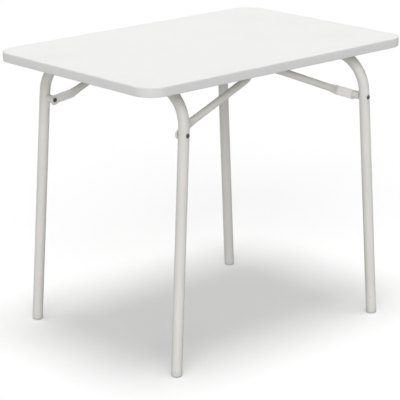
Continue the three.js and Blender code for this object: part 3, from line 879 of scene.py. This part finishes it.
def under_top(settings, places):
    """Where the saddles, the hooks and their screws go, by the nodes that stand there"""
    fittings = settings.fittings
    seat = places.ceiling - fittings.seat_gap
    saddle_screw = places.leg_radius + fittings.clearance + fittings.saddle_sheet + fittings.saddle_ear / 2
    hook_back = places.bar.x - places.brace_radius - fittings.clearance - fittings.hook_sheet
    hook_screw = hook_back - fittings.hook_tail + fittings.hook_screw_inset
    saddles, hooks, screws = {}, {}, {}
    for side in SIDES:
        for end, sign in ENDS.items():
            saddle_y = sign * places.saddle_distance
            hook_y = sign * places.hook_distance - places.shift

            def put(group, name, *place):
                group[f"{side}_{end}_{name}"] = hinge_matrix(side) @ Matrix.Translation(place)

            put(saddles, "saddle", 0, saddle_y, 0)
            put(hooks, "hook", places.bar.x, hook_y, places.bar.z)
            for name, x in (("inboard", saddle_screw), ("outboard", -saddle_screw)):
                put(screws, f"saddle_{name}_screw", x, saddle_y, seat - fittings.saddle_sheet)
            for name, step in (("first", -1), ("second", 1)):
                screw_y = hook_y + step * fittings.hook_screw_spacing / 2
                put(screws, f"hook_{name}_screw", hook_screw, screw_y, seat - fittings.hook_sheet)
    return saddles, hooks, screws


class BuildSaddles(TableOperator, Operator):
    """Presses the four saddles that hold the leg frames under the board"""
    bl_idname = "folding_table.saddles"
    bl_label = "Build the saddles"

    def build(self, settings, places):
        fittings, ceiling = settings.fittings, places.ceiling
        inner = places.leg_radius + fittings.clearance
        outer = inner + fittings.saddle_sheet
        ear_end = outer + fittings.saddle_ear
        under = ceiling - fittings.saddle_sheet
        half = [(ear_end, ceiling), (ear_end, under), (outer, under)]
        outline = [(-x, z) for x, z in half] + arc(outer, pi, 2 * pi, steps=24) + half[::-1]
        outline += [(inner, ceiling)] + arc(inner, 2 * pi, pi, steps=24) + [(-inner, ceiling)]
        pattern = pressed_sheet("saddle_pattern", outline, fittings.saddle_width, fittings.edge_round)
        place_under_top("saddles", pattern, under_top(settings, places)[0], "zinc")


class BuildHooks(TableOperator, Operator):
    """Presses the four hooks that the braces hang in"""
    bl_idname = "folding_table.hooks"
    bl_label = "Build the hooks"

    def build(self, settings, places):
        fittings = settings.fittings
        inner = places.brace_radius + fittings.clearance
        outer = inner + fittings.hook_sheet
        tail = -outer - fittings.hook_tail
        top = places.ceiling - places.bar.z
        under = top - fittings.hook_sheet
        meet = pi - asin(min(1, under / outer))
        outline = [(inner * cos(fittings.hook_mouth), top), (tail, top), (tail, under)]
        outline += arc(outer, meet, fittings.hook_lip, steps=16)
        outline += arc(inner, fittings.hook_lip, fittings.hook_mouth, steps=24)
        pattern = pressed_sheet("hook_pattern", outline, fittings.hook_width, fittings.edge_round)
        place_under_top("hooks", pattern, under_top(settings, places)[1], "zinc")


class BuildScrews(TableOperator, Operator):
    """Turns the screws of the saddles and hooks"""
    bl_idname = "folding_table.screws"
    bl_label = "Build the screws"

    def build(self, settings, places):
        fittings = settings.fittings
        head, high = fittings.screw_head / 2, fittings.screw_head_height
        shank, tip = fittings.screw_diameter / 2, fittings.screw_depth + fittings.saddle_sheet
        flank, root, thread_end = high * 0.35, shank * 0.8, tip - fittings.screw_tip
        turns, thread_start = 10, fittings.saddle_sheet
        pitch = (thread_end - thread_start) / turns
        dome = arc(head, -pi / 2, 0, 8, centre=(0, -flank), rise=high - flank)[1:]
        profile = [(0, -high), *dome, (head, 0), (shank, 0)]
        for turn in range(turns):
            low = thread_start + turn * pitch
            profile += [(root, low), (shank, low + pitch / 2)]
        profile += [(root, thread_end), (0, tip)]
        pattern = turned("screw_pattern", profile, sides=24)
        recess = cross_recess(head, high)
        cut = pattern.modifiers.new("Recess", "BOOLEAN")
        cut.operation = "DIFFERENCE"
        cut.solver = "EXACT"
        cut.object = recess
        settle(pattern)
        drop(recess)
        place_under_top("screws", pattern, under_top(settings, places)[2], "steel")


def cross_recess(head, high):
    """A cross that narrows as it goes into a screw's head"""
    long_arm, short_arm = head * 0.6, head * 0.14
    mouth, floor, taper = -high * 1.2, -high * 0.3, Vector((0.45, 0.6))
    cross = []
    for quarter in range(4):
        turn = Matrix.Rotation(quarter * pi / 2, 2)
        cross += [turn @ Vector(point) for point in (
            (long_arm, short_arm), (short_arm, short_arm), (short_arm, long_arm))]
    return capped("recess", [[(*point, mouth) for point in cross],
                             [(*point * taper, floor) for point in cross]])


class BuildStage(TableOperator, Operator):
    """Lays the floor, lights it and sets up the camera"""
    bl_idname = "folding_table.stage"
    bl_label = "Build the stage"

    def build(self, settings, places):
        stage = settings.stage
        half, below = stage.floor_size / 2, -0.3 * MM
        corners = [(x * half, y * half, below) for x, y in ((-1, -1), (1, -1), (1, 1), (-1, 1))]
        mesh = new_mesh("floor", corners, (), [(0, 1, 2, 3)])
        mesh.materials.append(floor_finish(stage))
        add_object("floor", mesh)
        light_world(stage)
        add_sun("top_light", stage.top_light, stage.top_spread, towards=(-0.03, -0.04, 1))
        front = add_sun("front_light", stage.front_light, stage.front_spread, towards=(-0.635, -0.64, 0.36))
        # Its reflection would bleach the top seen from behind
        front.visible_glossy = False
        set_camera()


def white_rays(graph):
    """1 for the rays that should see a white background"""
    rays = graph.node("ShaderNodeLightPath", {}, "Is Camera Ray")
    return rays.at_least(rays.other("Is Glossy Ray")).at_least(rays.other("Is Transmission Ray"))


def floor_finish(stage):
    """Pale from above, and clear from below"""
    material = bpy.data.materials.new("Studio floor")
    graph = emptied(material)
    seen = white_rays(graph)
    matt = graph.node("ShaderNodeBsdfDiffuse", {
        "Color": seen * (stage.floor_grey - stage.floor_bounce) + stage.floor_bounce})
    glow = graph.node("ShaderNodeEmission", {"Color": (1, 1, 1, 1), "Strength": seen * stage.floor_glow})
    lit = graph.node("ShaderNodeAddShader", {0: matt, 1: glow})
    below = graph.node("ShaderNodeNewGeometry", {}, "Backfacing")
    both = graph.node("ShaderNodeMixShader", {0: below, 1: lit, 2: graph.node("ShaderNodeBsdfTransparent")})
    graph.node("ShaderNodeOutputMaterial", {"Surface": both})
    return material


def light_world(stage):
    world = bpy.data.worlds.new("Studio")
    bpy.context.scene.world = world
    graph = emptied(world)
    white = white_rays(graph)
    sky = graph.node("ShaderNodeBackground", {
        "Color": (1, 1, 1, 1), "Strength": white + (1 - white) * stage.sky_level})
    graph.node("ShaderNodeOutputWorld", {"Surface": sky})


def add_sun(name, strength, spread, towards):
    lamp = bpy.data.lights.new(name, "SUN")
    lamp.energy = strength
    lamp.angle = spread
    made = add_object(name, lamp)
    made.rotation_euler = Vector(towards).to_track_quat("Z", "Y").to_euler()
    return made


def set_camera():
    """The camera's direction and distance, and the point that it looks at"""
    picture, sensor = 400, 36
    focal, middle = 1715.9, (220.0, 200.0)
    azimuth, elevation, roll = (radians(value) for value in (46.75439, 17.02885, 0.02252))
    distance, slide, half_height = 3.02767, (0.02657209, -0.03120536), 0.25
    back = Vector((-cos(elevation) * cos(azimuth), -cos(elevation) * sin(azimuth), sin(elevation)))
    right = (-back).cross(UP).normalized()
    up = right.cross(-back)
    across = cos(roll) * right + sin(roll) * up
    above = -sin(roll) * right + cos(roll) * up
    target = Vector((0, 0, half_height)) + slide[0] * across + slide[1] * above
    lens = bpy.data.cameras.new("camera")
    lens.sensor_width = sensor
    lens.lens = focal / picture * sensor
    lens.shift_x = (picture / 2 - middle[0]) / picture
    lens.shift_y = (middle[1] - picture / 2) / picture
    camera = add_object("camera", lens)
    turn = Matrix((across, above, back)).transposed().to_4x4()
    camera.matrix_world = Matrix.Translation(target + back * distance) @ turn
    bpy.context.scene.camera = camera


STEPS = (BuildBoard, BuildTrim, BuildLegFrames, BuildFootCaps, BuildBraces, BuildRivets, BuildSpacers,
         BuildSaddles, BuildHooks, BuildScrews, BuildStage)


class TablePanel(Panel):
    """Lists the building steps"""
    bl_idname = "VIEW3D_PT_folding_table"
    bl_label = "Folding table"
    bl_space_type = "VIEW_3D"
    bl_region_type = "UI"
    bl_category = "Table"

    def draw(self, context):
        settings = context.scene.folding_table
        for step in STEPS:
            self.layout.operator(step.bl_idname)
        for name in ("top", "legs", "brace", "fittings", "finish", "stage"):
            box = self.layout.box()
            box.label(text=name.capitalize())
            group = getattr(settings, name)
            for prop in group.bl_rna.properties:
                if not prop.is_readonly and prop.identifier != "name":
                    box.prop(group, prop.identifier)


CLASSES = (TopSettings, LegSettings, BraceSettings, FittingSettings, FinishSettings, StageSettings,
           TableSettings, *STEPS, TablePanel)


def register():
    for each in CLASSES:
        bpy.utils.register_class(each)
    bpy.types.Scene.folding_table = bpy.props.PointerProperty(type=TableSettings)


def unregister():
    del bpy.types.Scene.folding_table
    for each in reversed(CLASSES):
        bpy.utils.unregister_class(each)


def main():
    register()
    bpy.context.scene.view_settings.view_transform = "Standard"
    for step in STEPS:
        group, name = step.bl_idname.split(".")
        getattr(getattr(bpy.ops, group), name)()


if __name__ == "__main__":
    main()
